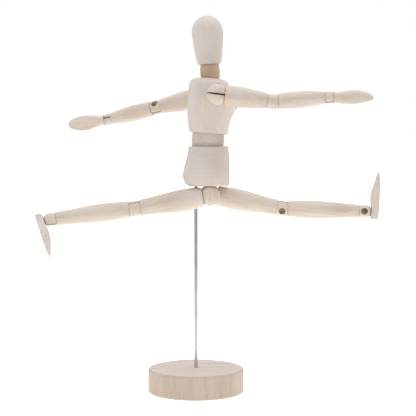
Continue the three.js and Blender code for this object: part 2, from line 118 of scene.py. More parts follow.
# The pose: each ball's roll in the piece before it, the bend of the next piece about the
# ball's screw, the end of the ball that the screw's head is on, and a hand's own turn.
POSE = {
    "right_shoulder": dict(roll=-3.5, bend=80, side=1),
    "right_elbow": dict(roll=90, bend=11.9, side=-1),
    "right_wrist": dict(roll=-33, bend=-6.9, side=-1, turn=150),
    "left_shoulder": dict(roll=-18, bend=64.2, side=1),
    "left_elbow": dict(roll=-45.5, bend=1.1, side=1),
    "left_wrist": dict(roll=74, bend=12.6, side=1, turn=230),
    "right_hip": dict(roll=0, bend=80.2, side=1),
    "right_knee": dict(roll=-37, bend=3.3, side=1),
    "right_ankle": dict(roll=72, bend=-12, side=1),
    "left_hip": dict(roll=-2, bend=-78.8, side=-1),
    "left_knee": dict(roll=22, bend=-10, side=-1),
    "left_ankle": dict(roll=-24, bend=1.6, side=-1),
}


def turned_ball(band, rim):
    """A ball turned down to a band, with its radius and the lip of the cup that holds it."""
    dome_shown = 0.6
    rim_wall = 0.35
    radius = math.hypot(band, rim - dome_shown)
    lip = math.sqrt((radius + CUP_GAP) ** 2 - rim ** 2) + rim_wall
    return dict(radius=radius, band=band, rim=rim, lip=lip)


SHOULDER = dict(radius=8.7, band=None, rim=5.9, lip=7.6, y=29.6, z=37)
HIP = dict(radius=8.4, band=None, rim=5.9, lip=8, x=11.5, y=14, drop=7.7)
ELBOW = turned_ball(5.6, 4.5)
WRIST = turned_ball(4.5, 3.7)
KNEE = turned_ball(6.2, 5)
ANKLE = turned_ball(5.1, 4.4)

# ---------------------------------------------------------------- profiles


def arc(radius, start, end, centre=0):
    """(along, radius) points of a circular arc, angles in degrees from +X at the centre."""
    steps = max(1, math.ceil(abs(end - start) / ARC_STEP))
    angles = [math.radians(start + (end - start) * i / steps) for i in range(steps + 1)]
    return [(centre + radius * math.cos(a), radius * math.sin(a)) for a in angles]


def smooth(points, divisions=8):
    """A smooth curve through a few points."""
    ends = [points[0], *points, points[-1]]
    curve = []
    for before, start, end, after in zip(ends, ends[1:], ends[2:], ends[3:]):
        for i in range(divisions):
            t = i / divisions
            curve.append(tuple(
                0.5 * (2 * b + (c - a) * t + (2 * a - 5 * b + 4 * c - d) * t ** 2
                       + (3 * b - a - 3 * c + d) * t ** 3)
                for a, b, c, d in zip(before, start, end, after)
            ))
    return [*curve, points[-1]]


def value_at(points, x):
    """The height of a rising outline of (x, height) points at x."""
    for (x0, y0), (x1, y1) in zip(points, points[1:]):
        if x <= x1:
            return y0 + (y1 - y0) * (x - x0) / (x1 - x0)
    return points[-1][1]


def softened(points, reach, sharp=25):
    """The same profile with its corners rounded over a short reach."""
    path = [Vector(p) for p in points]
    run = [0.0]
    for a, b in zip(path, path[1:]):
        run.append(run[-1] + (b - a).length)

    def corner(i):
        """Whether the profile turns sharply at a point."""
        into, out = path[i] - path[i - 1], path[i + 1] - path[i]
        return math.degrees(into.angle(out, 0)) > sharp

    def at(distance):
        """The point a distance along the profile."""
        for i in range(1, len(path)):
            if distance <= run[i]:
                share = (distance - run[i - 1]) / max(run[i] - run[i - 1], 1e-9)
                return path[i - 1].lerp(path[i], share)
        return path[-1]

    corners = [i for i in range(1, len(path) - 1) if corner(i)]
    stops = [0.0, *[run[i] for i in corners], run[-1]]
    result = []
    for i, place in enumerate(path):
        if i in corners:
            k = corners.index(i) + 1
            size = min(reach, 0.45 * (stops[k] - stops[k - 1]), 0.45 * (stops[k + 1] - stops[k]))
            start, end = at(run[i] - size), at(run[i] + size)
            for t in (0, 0.25, 0.5, 0.75, 1):
                result.append(start.lerp(place, t).lerp(place.lerp(end, t), t))
        elif all(abs(run[i] - run[c]) > 1.05 * reach for c in corners):
            result.append(place)
    return [(p.x, p.y) for p in result]


# ---------------------------------------------------------------- meshes


def mesh_object(name, vertices, faces):
    """An object in the scene from millimetre vertices, merged and with its faces outward."""
    mesh = bpy.data.meshes.new(name)
    mesh.from_pydata([(x * MM, y * MM, z * MM) for x, y, z in vertices], [], faces)
    work = bmesh.new()
    work.from_mesh(mesh)
    bmesh.ops.remove_doubles(work, verts=work.verts, dist=0.001 * MM)
    bmesh.ops.recalc_face_normals(work, faces=work.faces)
    work.to_mesh(mesh)
    work.free()
    made = bpy.data.objects.new(name, mesh)
    bpy.context.scene.collection.objects.link(made)
    return made


def loft(name, rings, closed=False):
    """A skin over rings of equal length, capped at both ends unless it closes on itself."""
    count = len(rings[0])
    vertices = [point for ring in rings for point in ring]
    faces = []
    pairs = len(rings) if closed else len(rings) - 1
    for i in range(pairs):
        a, b = i * count, (i + 1) % len(rings) * count
        faces += [(a + j, a + (j + 1) % count, b + (j + 1) % count, b + j) for j in range(count)]
    if not closed:
        faces += [tuple(range(count)), tuple(range(len(vertices) - count, len(vertices)))]
    return mesh_object(name, vertices, faces)


def lathe(name, outline, sides=LIMB_SIDES, closed=False):
    """A solid turned about +X, from an outline that ends on the axis or closes on itself."""
    tiny = 0.02
    rings = []
    for along, radius in outline:
        angles = [2 * math.pi * i / sides for i in range(sides)]
        reach = max(radius, tiny)
        rings.append([(along, reach * math.cos(a), reach * math.sin(a)) for a in angles])
    return loft(name, rings, closed)


def dowel(radius, start, end, sides=SMALL_SIDES):
    """A round bar along +X, to cut a bore with."""
    return lathe("cutter", [(start, 0), (start, radius), (end, radius), (end, 0)], sides)


def ball_cutter(radius, place=(0, 0, 0)):
    """A sphere to cut a cup or a dish with."""
    return moved(lathe("cutter", arc(radius, 180, 0)), shift(*place))


def box(low, high):
    """A block between two corners, to cut with."""
    (x0, y0, z0), (x1, y1, z1) = low, high
    ends = [[(x, y0, z0), (x, y1, z0), (x, y1, z1), (x, y0, z1)] for x in (x0, x1)]
    return loft("cutter", ends)


def moved(made, matrix):
    """The object with its mesh moved by a matrix."""
    made.data.transform(matrix)
    return made


def turn(axis, degrees):
    """A rotation about X, Y or Z."""
    return Matrix.Rotation(math.radians(degrees), 4, axis)


def shift(x, y, z):
    """A move by millimetres."""
    return Matrix.Translation(Vector((x, y, z)) * MM)


UPRIGHT = turn("Y", -90)


def settle(made):
    """Makes an object's modifiers part of its mesh."""
    depsgraph = bpy.context.evaluated_depsgraph_get()
    mesh = bpy.data.meshes.new_from_object(made.evaluated_get(depsgraph))
    made.modifiers.clear()
    made.data = mesh
    return made


def cut(made, *cutters):
    """The object less its cutters, which are used up."""
    for cutter in cutters:
        modifier = made.modifiers.new("cut", "BOOLEAN")
        modifier.operation = "DIFFERENCE"
        modifier.solver = "EXACT"
        modifier.object = cutter
    settle(made)
    for cutter in cutters:
        bpy.data.objects.remove(cutter)
    return made


def worn_round(made, voxel, passes):
    """Remeshes a block evenly and smooths it, which rounds every sawn edge a little."""
    remesh = made.modifiers.new("even", "REMESH")
    remesh.mode = "VOXEL"
    remesh.voxel_size = voxel * MM
    relax = made.modifiers.new("relax", "SMOOTH")
    relax.factor = 0.5
    relax.iterations = passes
    return settle(made)


def bevelled(made, width):
    """The object with a narrow bevel along its sharp edges."""
    bevel = made.modifiers.new("edges", "BEVEL")
    bevel.width = width * MM
    bevel.segments = 2
    bevel.limit_method = "ANGLE"
    bevel.angle_limit = math.radians(40)
    return settle(made)


# ---------------------------------------------------------------- materials


def node(tree, kind, **settings):
    """A new shader node with its settings."""
    made = tree.nodes.new(kind)
    for name, value in settings.items():
        setattr(made, name, value)
    return made


def plug(tree, socket, value):
    """Links another node's output to an input, or sets the input to a plain value."""
    if isinstance(value, bpy.types.NodeSocket):
        tree.links.new(value, socket)
    else:
        socket.default_value = value


def feed(tree, target, **links):
    """Fills inputs by name, with _ for a space."""
    for name, value in links.items():
        plug(tree, target.inputs[name.replace("_", " ")], value)


def maths(tree, operation, *values):
    """The result of one operation on numbers."""
    made = node(tree, "ShaderNodeMath", operation=operation)
    for socket, value in zip(made.inputs, values):
        plug(tree, socket, value)
    return made.outputs[0]


def vector_maths(tree, operation, *values):
    """The result of one operation on vectors."""
    made = node(tree, "ShaderNodeVectorMath", operation=operation)
    for socket, value in zip(made.inputs, values):
        plug(tree, socket, value)
    return made.outputs[0]


def vector_length(tree, vector):
    """The length of a vector."""
    made = node(tree, "ShaderNodeVectorMath", operation="LENGTH")
    tree.links.new(vector, made.inputs[0])
    return made.outputs["Value"]


def noise(tree, place, scale, detail=4, roughness=0.55):
    """Noise over millimetres, with scale given along each axis."""
    stretched = vector_maths(tree, "MULTIPLY", place, scale)
    made = node(tree, "ShaderNodeTexNoise")
    feed(tree, made, Vector=stretched, Scale=1.0, Detail=detail, Roughness=roughness)
    return made.outputs["Fac"]


def ramp(tree, value, low, high, out_low=0.0, out_high=1.0):
    """A smooth step from one value to another, as the input goes from low to high."""
    made = node(tree, "ShaderNodeMapRange", clamp=True, interpolation_type="SMOOTHSTEP")
    feed(tree, made, Value=value, From_Min=low, From_Max=high, To_Min=out_low, To_Max=out_high)
    return made.outputs["Result"]


def blended(tree, share, first, second):
    """A colour between two, by a share from 0 to 1."""
    made = node(tree, "ShaderNodeMix", data_type="RGBA")
    for index, value in ((0, share), (6, first), (7, second)):
        plug(tree, made.inputs[index], value)
    return made.outputs[2]


def between(tree, share, first, second):
    """A number between two, by a share from 0 to 1."""
    made = node(tree, "ShaderNodeMix", data_type="FLOAT")
    for index, value in ((0, share), (2, first), (3, second)):
        plug(tree, made.inputs[index], value)
    return made.outputs[0]


def facing(tree, axis):
    """How squarely a surface faces along one axis of its piece, from 0 to 1."""
    parts = node(tree, "ShaderNodeSeparateXYZ")
    tree.links.new(node(tree, "ShaderNodeTexCoord").outputs["Normal"], parts.inputs[0])
    return maths(tree, "ABSOLUTE", parts.outputs[axis])


def worn_edges(tree, start, amount):
    """A share that grows to an amount along sharp outer edges."""
    pointiness = node(tree, "ShaderNodeNewGeometry").outputs["Pointiness"]
    return ramp(tree, pointiness, start, 0.6, 0.0, amount)


def colour(red, green, blue):
    """An opaque colour."""
    return (red, green, blue, 1.0)


def new_material(name, **constants):
    """A material with its node tree and its shader, and some of the shader's inputs set."""
    material = bpy.data.materials.new(name)
    material.use_nodes = True
    shader = material.node_tree.nodes["Principled BSDF"]
    for label, value in constants.items():
        shader.inputs[label.replace("_", " ")].default_value = value
    return material, material.node_tree, shader


def millimetres(tree):
    """Object coordinates in millimetres, set apart from piece to piece by the grain seed."""
    place = node(tree, "ShaderNodeTexCoord").outputs["Object"]
    seed = node(tree, "ShaderNodeAttribute", attribute_name="grain_seed").outputs["Fac"]
    apart = vector_maths(tree, "MULTIPLY", seed, (173.0, 31.0, 57.0))
    return vector_maths(tree, "ADD", vector_maths(tree, "MULTIPLY", place, (1000.0,) * 3), apart)


def bump(tree, shader, height, depth):
    """Relief of that many millimetres from a height of 0 to 1."""
    made = node(tree, "ShaderNodeBump")
    feed(tree, made, Height=height, Strength=1.0, Distance=depth * MM)
    tree.links.new(made.outputs["Normal"], shader.inputs["Normal"])


def wood(name, pale, dark, pore, ring_gap=2.6, figure=1.0, tool_marks=0.0, roughness=0.5):
    """Fine-grained wood with its grain along the piece's X: rings, fibres, pores, wear, painted
    crevice shade.
    """
    material, tree, shader = new_material(name, Specular_IOR_Level=0.35, Coat_Weight=0.06,
                                          Coat_Roughness=0.35)
    place = millimetres(tree)
    sway = noise(tree, place, (0.02, 0.05, 0.05), detail=2)
    swayed = vector_maths(tree, "ADD", place,
                          vector_maths(tree, "MULTIPLY", sway, (0.0, 9.0, 9.0)))

    across = vector_maths(tree, "MULTIPLY", swayed, (0.012, 1.0, 1.0))
    far_pith = vector_maths(tree, "ADD", across, (0.0, 38.0, 61.0))
    phase = maths(tree, "MULTIPLY", vector_length(tree, far_pith), 2 * math.pi / ring_gap)
    rings = ramp(tree, maths(tree, "SINE", phase), -0.2, 1.0)

    fibres = noise(tree, swayed, (0.12, 2.6, 2.6), detail=6, roughness=0.65)
    streaks = noise(tree, swayed, (0.03, 0.45, 0.45), detail=3)
    clouds = noise(tree, place, (0.03, 0.06, 0.06), detail=2)
    flecks = ramp(tree, noise(tree, swayed, (0.7, 7.0, 7.0), detail=2), 0.66, 0.74)

    figure_share = maths(tree, "ADD", maths(tree, "MULTIPLY", rings, 0.14 * figure),
                         maths(tree, "MULTIPLY", ramp(tree, fibres, 0.35, 0.7), 0.3 * figure))
    figure_share = maths(tree, "ADD", figure_share,
                         maths(tree, "MULTIPLY", ramp(tree, streaks, 0.38, 0.74), 0.32 * figure))
    figure_share = maths(tree, "ADD", figure_share, ramp(tree, clouds, 0.35, 0.7, -0.16, 0.24))
    shade = blended(tree, figure_share, pale, dark)
    shade = blended(tree, maths(tree, "MULTIPLY", flecks, 0.35), shade, pore)

    end_grain = ramp(tree, facing(tree, "X"), 0.75, 1.0, 0.0, 0.35)
    shade = blended(tree, end_grain, shade, dark)

    # Painted shade: where nearby parts occlude the surface, in crevices and between pieces, it is
    # darkened towards the pore colour.
    crevice = node(tree, "ShaderNodeAmbientOcclusion", samples=6)
    feed(tree, crevice, Distance=1.2 * MM)
    painted_crevice_shade = ramp(tree, crevice.outputs["AO"], 0.2, 0.8, 0.4, 0.0)
    shade = blended(tree, painted_crevice_shade, shade, pore)
    shade = blended(tree, worn_edges(tree, 0.52, 0.3), shade, pale)
    tree.links.new(shade, shader.inputs["Base Color"])

    dull = maths(tree, "ADD", roughness - 0.06, maths(tree, "MULTIPLY", fibres, 0.14))
    tree.links.new(maths(tree, "ADD", dull, maths(tree, "MULTIPLY", flecks, 0.12)),
                   shader.inputs["Roughness"])
    relief = maths(tree, "SUBTRACT", maths(tree, "MULTIPLY", fibres, 0.6),
                   maths(tree, "MULTIPLY", flecks, 0.8))
    if tool_marks:
        marks = noise(tree, place, (2.4, 0.01, 0.01), detail=2)
        relief = maths(tree, "ADD", relief, maths(tree, "MULTIPLY", marks, tool_marks))
    bump(tree, shader, relief, 0.035)
    return material


def base_wood(name, top_pale_and_light, pale, dark, pore):
    """The wood of the turned base: straight grain across its faces, upright streaks round it."""
    material, tree, shader = new_material(name, Specular_IOR_Level=0.35, Coat_Weight=0.08,
                                          Coat_Roughness=0.3)
    place = millimetres(tree)
    # Share of top face: it picks the flat grain and the paler top; the rounded edge keeps the side's
    # darker colour as painted shade.
    top_grain_and_light = ramp(tree, facing(tree, "Z"), 0.8, 0.99)

    sway = noise(tree, place, (0.012, 0.03, 0.03), detail=2)
    swayed = vector_maths(tree, "ADD", place, vector_maths(tree, "MULTIPLY", sway, (0, 12, 0)))
    boards = noise(tree, swayed, (0.02, 0.5, 0.1), detail=4)
    lines = noise(tree, swayed, (0.08, 2.8, 1.0), detail=5, roughness=0.65)
    upright = noise(tree, place, (1.3, 1.3, 0.05), detail=5, roughness=0.7)
    bands = noise(tree, place, (0.12, 0.12, 0.02), detail=2)
    flecks_flat = ramp(tree, noise(tree, swayed, (0.45, 5.5, 3.0), detail=1), 0.66, 0.74)
    flecks_side = ramp(tree, noise(tree, place, (3.6, 3.6, 0.5), detail=1), 0.64, 0.74)

    flat = maths(tree, "ADD", maths(tree, "MULTIPLY", ramp(tree, boards, 0.35, 0.7), 0.5),
                 maths(tree, "MULTIPLY", ramp(tree, lines, 0.35, 0.7), 0.35))
    side = maths(tree, "ADD", maths(tree, "MULTIPLY", ramp(tree, upright, 0.35, 0.68), 0.6),
                 ramp(tree, bands, 0.35, 0.7, 0.05, 0.3))
    grain = between(tree, top_grain_and_light, side, flat)
    flecks = between(tree, top_grain_and_light, flecks_side, flecks_flat)
    # Painted light: the top's paler colour stands partly for its flatter grain, partly for the light
    # falling from above.
    shade = blended(tree, grain, blended(tree, top_grain_and_light, pale, top_pale_and_light), dark)
    shade = blended(tree, maths(tree, "MULTIPLY", flecks, 0.45), shade, pore)
    shade = blended(tree, worn_edges(tree, 0.52, 0.15), shade, pale)
    tree.links.new(shade, shader.inputs["Base Color"])
    tree.links.new(maths(tree, "ADD", 0.42, maths(tree, "MULTIPLY", upright, 0.14)),
                   shader.inputs["Roughness"])
    relief = maths(tree, "SUBTRACT", maths(tree, "MULTIPLY", grain, 0.7), flecks)
    bump(tree, shader, relief, 0.04)
    return material


def metal(name, clean, tarnish, roughness, spread, scale, marks, wear=0.0):
    """Metal with a cloudy tarnish, fine marks and, where it has wear, bright edges."""
    material, tree, shader = new_material(name, Metallic=1.0)
    place = millimetres(tree)
    clouds = noise(tree, place, (scale, scale, scale), detail=5, roughness=0.65)
    fine = noise(tree, place, marks, detail=4, roughness=0.7)
    shade = blended(tree, ramp(tree, clouds, 0.38, 0.66), clean, tarnish)
    if wear:
        shade = blended(tree, worn_edges(tree, 0.51, wear), shade, clean)
    tree.links.new(shade, shader.inputs["Base Color"])
    dull = maths(tree, "ADD", roughness, maths(tree, "MULTIPLY", fine, spread))
    tree.links.new(dull, shader.inputs["Roughness"])
    bump(tree, shader, fine, 0.006)
    return material


MAPLE = dict(pale=colour(0.76, 0.68, 0.605), dark=colour(0.63, 0.525, 0.43),
             pore=colour(0.37, 0.26, 0.175))
WARM_MAPLE = dict(pale=colour(0.77, 0.67, 0.565), dark=colour(0.6, 0.475, 0.35),
                  pore=colour(0.36, 0.24, 0.155))
MATERIALS = {
    "turned_maple": wood("turned_maple", **WARM_MAPLE, tool_marks=0.5),
    "head_maple": wood("head_maple", **MAPLE, ring_gap=3.4, figure=0.6, tool_marks=0.3),
    "sawn_maple": wood("sawn_maple", **MAPLE, ring_gap=3.2, figure=0.75),
    "neck_wood": wood("neck_wood", colour(0.7, 0.52, 0.36), colour(0.52, 0.36, 0.225),
                      colour(0.18, 0.1, 0.055), ring_gap=1.8, figure=1.1, tool_marks=0.6),
    # The first base colour, for the top, is paler partly for its grain and partly as painted light
    # from above.
    "base_wood": base_wood("base_wood", colour(0.87, 0.77, 0.68), colour(0.68, 0.56, 0.46),
                           colour(0.52, 0.4, 0.31), colour(0.27, 0.175, 0.11)),
    "chrome": metal("chrome", colour(0.55, 0.54, 0.535), colour(0.45, 0.44, 0.435), 0.24, 0.1, 0.05,
                    (2.0, 2.0, 0.1)),
    "brass": metal("brass", colour(0.34, 0.26, 0.15), colour(0.1, 0.075, 0.045), 0.28, 0.2, 0.5,
                   (3.0, 3.0, 3.0), wear=0.8),
    "plate": metal("plate", colour(0.36, 0.3, 0.25), colour(0.17, 0.125, 0.09), 0.4, 0.25, 0.35,
                   (0.3, 6.0, 6.0), wear=0.4),
    "spring": metal("spring", colour(0.5, 0.5, 0.5), colour(0.3, 0.29, 0.28), 0.25, 0.2, 0.4,
                    (4.0, 4.0, 4.0)),
}

# ---------------------------------------------------------------- placing pieces

placed = []


def place_piece(cad_node, made, matrix, material):
    """Finishes a mesh, puts it in its place and lets it stand for its CAD node."""
    made.name = f"{cad_node}_fine"
    made.data.name = made.name
    mesh = made.data
    mesh.materials.clear()
    mesh.materials.append(MATERIALS[material])
    mesh.shade_smooth()
    mesh.set_sharp_from_angle(angle=math.radians(38))
    seed = mesh.attributes.new("grain_seed", "FLOAT", "POINT")
    golden = 0.618
    value = (len(placed) * golden) % 1
    seed.data.foreach_set("value", [value] * len(mesh.vertices))
    made.matrix_world = matrix
    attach(made, frame["nodes"][cad_node]["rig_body"])
    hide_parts(cad_node)
    placed.append(made)


meshes = {}


def copy_of(key, build):
    """A fresh copy of a mesh that is built once for several pieces."""
    if key not in meshes:
        made = build()
        meshes[key] = made.data
        bpy.data.objects.remove(made)
    made = bpy.data.objects.new("copy", meshes[key].copy())
    bpy.context.scene.collection.objects.link(made)
    return made


# ---------------------------------------------------------------- joint pieces


def ball(joint, side):
    """A ball with its spigot towards -X, its tongue slot and its screw hole along Y."""
    radius, band = joint["radius"], joint["band"]
    neck = math.degrees(math.asin(SPIGOT["radius"] / radius))
    back = -radius - SPIGOT["length"]
    outline = [(back, 0), (back, SPIGOT["radius"])]
    if band:
        edge = math.degrees(math.asin(band / radius))
        reach = radius * math.cos(math.radians(edge))
        crown = 0.12
        barrel = [(reach * t, band + crown * (1 - t * t)) for t in (-0.75, -0.4, 0, 0.4, 0.75)]
        outline += [*arc(radius, 180 - neck, 180 - edge), *barrel, *arc(radius, edge, 0)]
    else:
        outline += arc(radius, 180 - neck, 0)
    made = lathe("ball", softened(outline, 0.35), LIMB_SIDES)
    floor = joint["rim"] - SLOT["overlap"] if band else SLOT["in_full_ball"]
    half = SLOT["width"] / 2
    far = 2 * radius
    slot = box((-floor, -half, -far), (far, half, far))
    surface = band or radius
    to_side = turn("Z", 90 * side)
    hole = dowel(SCREW["shank"] + SCREW_GAP["shank"], SCREW["rise"] - surface, surface)
    seat = dowel(SCREW["head"] + SCREW_GAP["head"], surface - SCREW["sunk"], far)
    return bevelled(cut(made, slot, moved(hole, to_side), moved(seat, to_side)), 0.14)


def screw(joint, side):
    """A domed cross-head screw along Y with a threaded end, its head on the given side."""
    surface = joint["band"] or joint["radius"]
    under = surface - SCREW["sunk"] + SCREW["clearance"]
    top = under + SCREW["rise"]
    head, shank = SCREW["head"], SCREW["shank"]
    tip = SCREW["rise"] + SCREW["clearance"] - surface
    outline = [(tip, 0), (tip, 0.35 * shank), (tip + 0.5, 0.8 * shank)]
    for i in range(int(0.8 * surface / THREAD_PITCH)):
        start = tip + 0.6 + i * THREAD_PITCH
        outline += [(start, 0.74 * shank), (start + 0.3 * THREAD_PITCH, shank)]
    outward = (1, 0.92, 0.8, 0.6, 0.4, 0.2, 0)
    dome = [(top - 0.7 * SCREW["rise"] * t ** 2.4, head * t) for t in outward]
    outline += [(under - 0.3, shank), (under, shank), (under, head), *dome]
    made = lathe("screw", outline, SMALL_SIDES)
    arms = []
    for across in (0, 90):
        rings = []
        for x, share in ((top - SCREW_CROSS["depth"], SCREW_CROSS["taper"]), (top + 0.2, 1.0)):
            y, z = 0.5 * SCREW_CROSS["width"] * share, SCREW_CROSS["reach"] * share
            rings.append([(x, -y, -z), (x, y, -z), (x, y, z), (x, -y, z)])
        arms.append(moved(loft("cutter", rings), turn("X", across)))
    return moved(bevelled(cut(made, *arms), 0.05), turn("Z", 90 * side))


def tongue(joint, grip):
    """A stamped steel eye plate, its eye on the screw and its bar in the next piece."""
    end = joint["radius"] + grip
    half = TONGUE["thickness"] / 2
    eye, bar = TONGUE["eye"], TONGUE["bar"]
    shoulder = math.degrees(math.asin(bar / eye))
    outline = [*arc(eye, shoulder, 360 - shoulder), (end - 0.5, -bar), (end, -0.5 * bar),
               (end, 0.5 * bar), (end - 0.5, bar)]
    plate = loft("tongue", [[(x, y, z) for x, z in outline] for y in (-half, half)])
    hole = moved(dowel(SCREW["shank"] + SCREW["clearance"], -2, 2), turn("Z", 90))
    return bevelled(cut(plate, hole), 0.15)


def spring(size, length):
    """A coil spring along +X, centred on the origin, with closed ends."""
    wire = size["wire"]
    coil = size["radius"] - wire
    turns = round(length / SPRING_PITCH)
    steps, section = turns * 20, 10
    slope = (length - 2 * wire) / (2 * math.pi * turns)
    rings = []
    for i in range(steps + 1):
        angle = 2 * math.pi * turns * i / steps
        out = Vector((0, math.cos(angle), math.sin(angle)))
        centre = Vector((slope * angle + wire - length / 2, 0, 0)) + coil * out
        along = Vector((slope, -coil * math.sin(angle), coil * math.cos(angle))).normalized()
        side = along.cross(out)
        corners = [2 * math.pi * k / section for k in range(section)]
        rings.append([centre + wire * (math.cos(c) * out + math.sin(c) * side) for c in corners])
    return loft("spring", rings)


# ---------------------------------------------------------------- limb pieces


def near_cup(joint, bore, depth):
    """From the bore's floor to the rim of the cup at the body end of a piece."""
    cup = joint["radius"] + FINE_CUP_GAP
    start = math.degrees(math.asin(bore / cup))
    end = math.degrees(math.acos(joint["rim"] / cup))
    return [(cup + depth, 0), (cup + depth, bore), *arc(cup, start, end)]


def far_cup(joint, length):
    """From the rim of the cup at the far end of a piece to the bore's floor."""
    cup = joint["radius"] + FINE_CUP_GAP
    start = 180 - math.degrees(math.acos(joint["rim"] / cup))
    end = 180 - math.degrees(math.asin(BORE["spigot"] / cup))
    floor = length - cup - SPIGOT["length"] - BORE["slack"]
    return [*arc(cup, start, end, length), (floor, BORE["spigot"]), (floor, 0)]


def limb_piece(size, near, far):
    """A turned piece with a cup at each end and a swell between them."""
    length, radii = size["length"], size["radii"]
    start, end = near["rim"], length - far["rim"]
    step = (end - start) / (len(radii) + 1)
    swell = [(start + step * (i + 1), radius) for i, radius in enumerate(radii)]
    curve = smooth([(start, near["lip"]), *swell, (end, far["lip"])])
    eased, reach = 0.35, 1.1
    steps = [reach * (1 - math.cos(math.pi * i / 16)) for i in range(9)]
    middle = [x for x, _ in curve if start + reach < x < end - reach]
    places = [*[start + step for step in steps], *middle, *[end - step for step in reversed(steps)]]
    outer = []
    for x in places:
        near_end = min(x - start, end - x)
        drawn_in = eased * (1 - min(near_end / reach, 1)) ** 2
        outer.append((x, value_at(curve, x) - drawn_in))
    inner = near_cup(near, BORE["tongue"], TONGUE["grip"] + BORE["slack"])
    return lathe("limb", softened([*inner, *outer, *far_cup(far, length)], 0.2, 35))


def hand():
    """A spindle with one side sawn off at a slant for the palm, which faces +Y."""
    tip, radius, widest = HAND["length"], HAND["radius"], HAND["widest_at"]
    outer = smooth([
        (WRIST["rim"], WRIST["lip"]),
        (HAND["neck_at"], HAND["neck"]),
        (widest - 7, radius - 1),
        (widest, radius),
        (tip - 6, radius - 1.4),
        (tip - 1.5, 3),
        (tip - 0.1, 0.9),
        (tip, 0),
    ])
    inner = near_cup(WRIST, BORE["tongue"], TONGUE["grip"] + BORE["slack"])
    spindle = lathe("hand", softened([*inner, *outer], 0.3, 40))
    slant = shift(HAND["palm_at"], HAND["neck"], 0) @ turn("Z", -HAND["palm_tilt"])
    offcut = moved(box((-tip, 0, -tip), (tip, tip, tip)), slant)
    return worn_round(cut(spindle, offcut), **SMALL_WEAR)


def foot():
    """A flat sole that lifts towards the toe. The shin comes from -X, the toe points to +Z."""
    heel, toe, sole, rim = -FOOT["heel"], FOOT["toe"], FOOT["sole"], FOOT["rim"]
    tip, heel_half, ball_half = sole - FOOT["spring"], FOOT["heel_width"] / 2, FOOT["width"] / 2
    bottom = smooth([(heel, sole), (toe * 0.4, sole), (toe * 0.75, sole - 0.5), (toe, tip)])
    top = smooth([(heel, rim + 0.5), (heel + 2, rim), (toe * 0.15, rim), (toe * 0.3, rim - 0.9),
                  (toe * 0.5, rim - 0.4), (toe * 0.75, rim + 1.9), (toe, tip - 1.4)])
    half = smooth([(heel, heel_half - 0.5), (heel + 2, heel_half), (4, heel_half + 0.4),
                   (toe * 0.55, ball_half), (toe * 0.75, ball_half - 0.5),
                   (toe * 0.92, ball_half - 2.4), (toe, ball_half - 4.6)])
    rings = []
    count = 60
    for i in range(count + 1):
        z = heel + (toe - heel) * i / count
        low, high, width = value_at(top, z), value_at(bottom, z), value_at(half, z)
        height = high - low
        crown = min(0.45 * height, 2.2)
        ring = [(high, y * width) for y in (-1, -0.5, 0, 0.5, 1)]
        for k in range(25):
            angle = math.pi * k / 24
            side = math.copysign(abs(math.cos(angle)) ** 0.45, math.cos(angle))
            ring.append((low + crown * (1 - math.sin(angle) ** 0.8), side * width))
        rings.append([(x, y, z) for x, y in ring])
    made = loft("foot", rings)
    bore = dowel(BORE["tongue"], 0, ANKLE["radius"] + TONGUE["foot_grip"] + BORE["slack"])
    cut(made, ball_cutter(ANKLE["radius"] + FINE_DISH_GAP), bore)
    return worn_round(made, **SMALL_WEAR)


# ---------------------------------------------------------------- trunk pieces


def base():
    """The disc, with a rounded upper edge, a chamfer below and a hole for the rod."""
    radius, height, edge, chamfer = (BASE[k] for k in ("radius", "height", "edge", "chamfer"))
    hole, floor = ROD["radius"] + ROD_GAP["base"], height - ROD["in_base"]
    outline = [(floor, 0), (floor, hole), (height, hole)]
    corner = [(height - edge + x, radius - edge + y) for x, y in arc(edge, 0, 90)]
    outline += [*corner, (chamfer, radius), (0, radius - chamfer), (0, 0)]
    return moved(lathe("base", softened(outline, 0.5), BASE_SIDES), UPRIGHT)


def rod():
    """The rod, from inside the base to inside the pelvis."""
    radius, chamfer = ROD["radius"], ROD["chamfer"]
    bottom = BASE["height"] - ROD["in_base"] + ROD["clearance"]
    top = PELVIS["bottom"] + ROD["in_pelvis"]
    outline = [(bottom, 0), (bottom, radius - chamfer), (bottom + chamfer, radius),
               (top - chamfer, radius), (top, radius - chamfer), (top, 0)]
    return moved(lathe("rod", softened(outline, 0.2), LIMB_SIDES), UPRIGHT)


def barrel(size, hole):
    """A ball turned down to a crowned band, with a hole along its upright axis."""
    radius, crown = turned_ball(size["band"], size["rim"])["radius"], size["crown"]
    edge = math.degrees(math.asin((size["band"] - crown) / radius))
    mouth = math.degrees(math.asin(hole / radius))
    reach = radius * math.cos(math.radians(edge))
    places = [-0.95 + 0.19 * i for i in range(11)]
    band = [(reach * t, size["band"] - crown * t * t) for t in places]
    outline = [*arc(radius, 180 - mouth, 180 - edge), *band, *arc(radius, edge, mouth)]
    return moved(lathe("barrel", softened(outline, 0.4), TRUNK_SIDES, closed=True), UPRIGHT)


def block(name, levels):
    """A carved block from (height, back, front, half width, corner) sections."""
    rings = []
    for z, back, front, half, corner in levels:
        middle, reach = (back + front) / 2, (front - back) / 2
        power = 2 / corner
        ring = []
        for i in range(TRUNK_SIDES):
            angle = 2 * math.pi * i / TRUNK_SIDES
            x, y = math.cos(angle), math.sin(angle)
            ring.append((middle + reach * math.copysign(abs(x) ** power, x),
                         half * math.copysign(abs(y) ** power, y), z))
        rings.append(ring)
    return loft(name, rings)


def rounding(z, low, high, radius):
    """How far an edge rounded top and bottom draws in at a height."""
    near = min(z - low, high - z)
    if near >= radius:
        return 0
    return radius - math.sqrt(max(radius ** 2 - (radius - near) ** 2, 0))


def heights(low, high, radius, steps=44):
    """Levels close together at the rounded edges and even between them."""
    ends = [radius * (1 - math.cos(math.pi * i / 12)) for i in range(6)]
    inner = [low + radius + (high - low - 2 * radius) * i / steps for i in range(steps + 1)]
    return [*[low + e for e in ends], *inner, *[high - e for e in reversed(ends)]]


